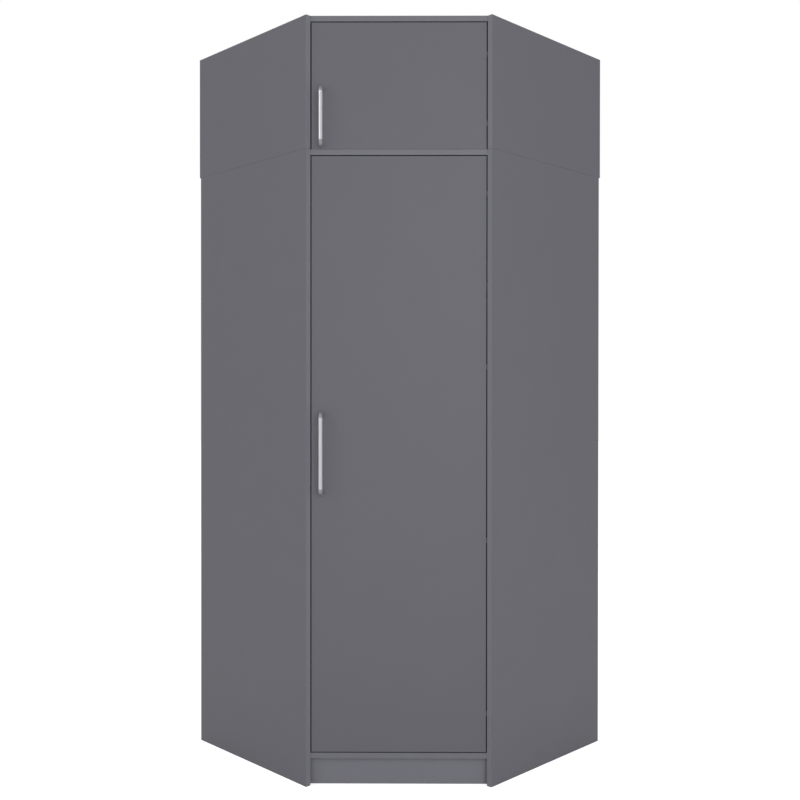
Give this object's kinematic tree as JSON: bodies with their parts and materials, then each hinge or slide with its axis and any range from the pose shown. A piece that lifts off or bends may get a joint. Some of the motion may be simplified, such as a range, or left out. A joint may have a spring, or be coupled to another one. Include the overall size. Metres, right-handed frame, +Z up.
{
  "type": "corner wardrobe",
  "caption": "Five-sided corner wardrobe in graphite board: a tall cupboard with a hanging rail under a hat shelf, a top box, and diagonal doors on concealed hinges with bow handles.",
  "frame": {"origin": "on the floor, below the middle of the wardrobe's box, handles included", "axes": "+Z up, +Y from the doors to the room corner, +X to the right as seen from the front"},
  "size_m": [1.2812, 1.0404, 2.18],
  "materials": {
    "graphite_board": "matt graphite melamine board",
    "hardboard": "graphite coated hardboard",
    "handle_chrome": "satin chrome",
    "rail_chrome": "bright chrome",
    "hinge_steel": "nickel plated steel",
    "zinc": "zinc plated"
  },
  "bodies": {
    "cabinet": {"lower_side_left": "graphite_board", "lower_side_right": "graphite_board", "lower_back_left": "hardboard", "lower_back_right": "hardboard", "lower_corner_stile_left": "graphite_board", "lower_corner_stile_right": "graphite_board", "lower_top_panel": "graphite_board", "upper_side_left": "graphite_board", "upper_side_right": "graphite_board", "upper_back_left": "hardboard", "upper_back_right": "hardboard", "upper_corner_stile_left": "graphite_board", "upper_corner_stile_right": "graphite_board", "upper_top_panel": "graphite_board", "lower_bottom_panel": "graphite_board", "plinth_board": "graphite_board", "hat_shelf": "graphite_board", "hanging_rail": "rail_chrome", "rail_hanger_left": "zinc", "rail_hanger_right": "zinc", "shelf_peg_left_front": "zinc", "shelf_peg_left_rear": "zinc", "shelf_peg_right_front": "zinc", "shelf_peg_right_rear": "zinc", "lower_hinge_1_arm": "hinge_steel", "lower_hinge_1_plate": "zinc", "lower_hinge_2_arm": "hinge_steel", "lower_hinge_2_plate": "zinc", "lower_hinge_3_arm": "hinge_steel", "lower_hinge_3_plate": "zinc", "lower_hinge_4_arm": "hinge_steel", "lower_hinge_4_plate": "zinc", "upper_hinge_1_arm": "hinge_steel", "upper_hinge_1_plate": "zinc", "upper_hinge_2_arm": "hinge_steel", "upper_hinge_2_plate": "zinc"},
    "lower_inner_links": {"lower_hinge_1_inner_link": "hinge_steel", "lower_hinge_2_inner_link": "hinge_steel", "lower_hinge_3_inner_link": "hinge_steel", "lower_hinge_4_inner_link": "hinge_steel"},
    "lower_outer_links": {"lower_hinge_1_outer_link": "hinge_steel", "lower_hinge_2_outer_link": "hinge_steel", "lower_hinge_3_outer_link": "hinge_steel", "lower_hinge_4_outer_link": "hinge_steel"},
    "lower_door_leaf": {"lower_door": "graphite_board", "lower_handle": "handle_chrome", "lower_hinge_1_cup": "hinge_steel", "lower_hinge_2_cup": "hinge_steel", "lower_hinge_3_cup": "hinge_steel", "lower_hinge_4_cup": "hinge_steel"},
    "upper_inner_links": {"upper_hinge_1_inner_link": "hinge_steel", "upper_hinge_2_inner_link": "hinge_steel"},
    "upper_outer_links": {"upper_hinge_1_outer_link": "hinge_steel", "upper_hinge_2_outer_link": "hinge_steel"},
    "upper_door_leaf": {"upper_door": "graphite_board", "upper_handle": "handle_chrome", "upper_hinge_1_cup": "hinge_steel", "upper_hinge_2_cup": "hinge_steel"}
  },
  "joints": [
    {"name": "lower_door_swing", "type": "hinge", "parent": "cabinet", "child": "lower_door_leaf", "pos_m": [0.23578, -0.47647, 0.94], "axis": [0, 0, 1], "range_deg": [0, 95]},
    {"name": "lower_inner_link_swing", "type": "hinge", "parent": "cabinet", "child": "lower_inner_links", "pos_m": [0.22972, -0.47492, 0.94], "axis": [0, 0, 1], "range_deg": [0, 9.5]},
    {"name": "lower_outer_link_swing", "type": "hinge", "parent": "cabinet", "child": "lower_outer_links", "pos_m": [0.23262, -0.47977, 0.94], "axis": [0, 0, 1], "range_deg": [0, 116.38]},
    {"name": "upper_door_swing", "type": "hinge", "parent": "cabinet", "child": "upper_door_leaf", "pos_m": [0.23578, -0.47647, 1.98275], "axis": [0, 0, 1], "range_deg": [0, 95]},
    {"name": "upper_inner_link_swing", "type": "hinge", "parent": "cabinet", "child": "upper_inner_links", "pos_m": [0.22972, -0.47492, 1.98275], "axis": [0, 0, 1], "range_deg": [0, 9.5]},
    {"name": "upper_outer_link_swing", "type": "hinge", "parent": "cabinet", "child": "upper_outer_links", "pos_m": [0.23262, -0.47977, 1.98275], "axis": [0, 0, 1], "range_deg": [0, 116.38]}
  ],
  "couplings": [
    {"joint": "lower_inner_link_swing", "follows": "lower_door_swing", "ratio": 0.1},
    {"joint": "lower_outer_link_swing", "follows": "lower_door_swing", "ratio": 1.225},
    {"joint": "upper_inner_link_swing", "follows": "upper_door_swing", "ratio": 0.1},
    {"joint": "upper_outer_link_swing", "follows": "upper_door_swing", "ratio": 1.225}
  ]
}
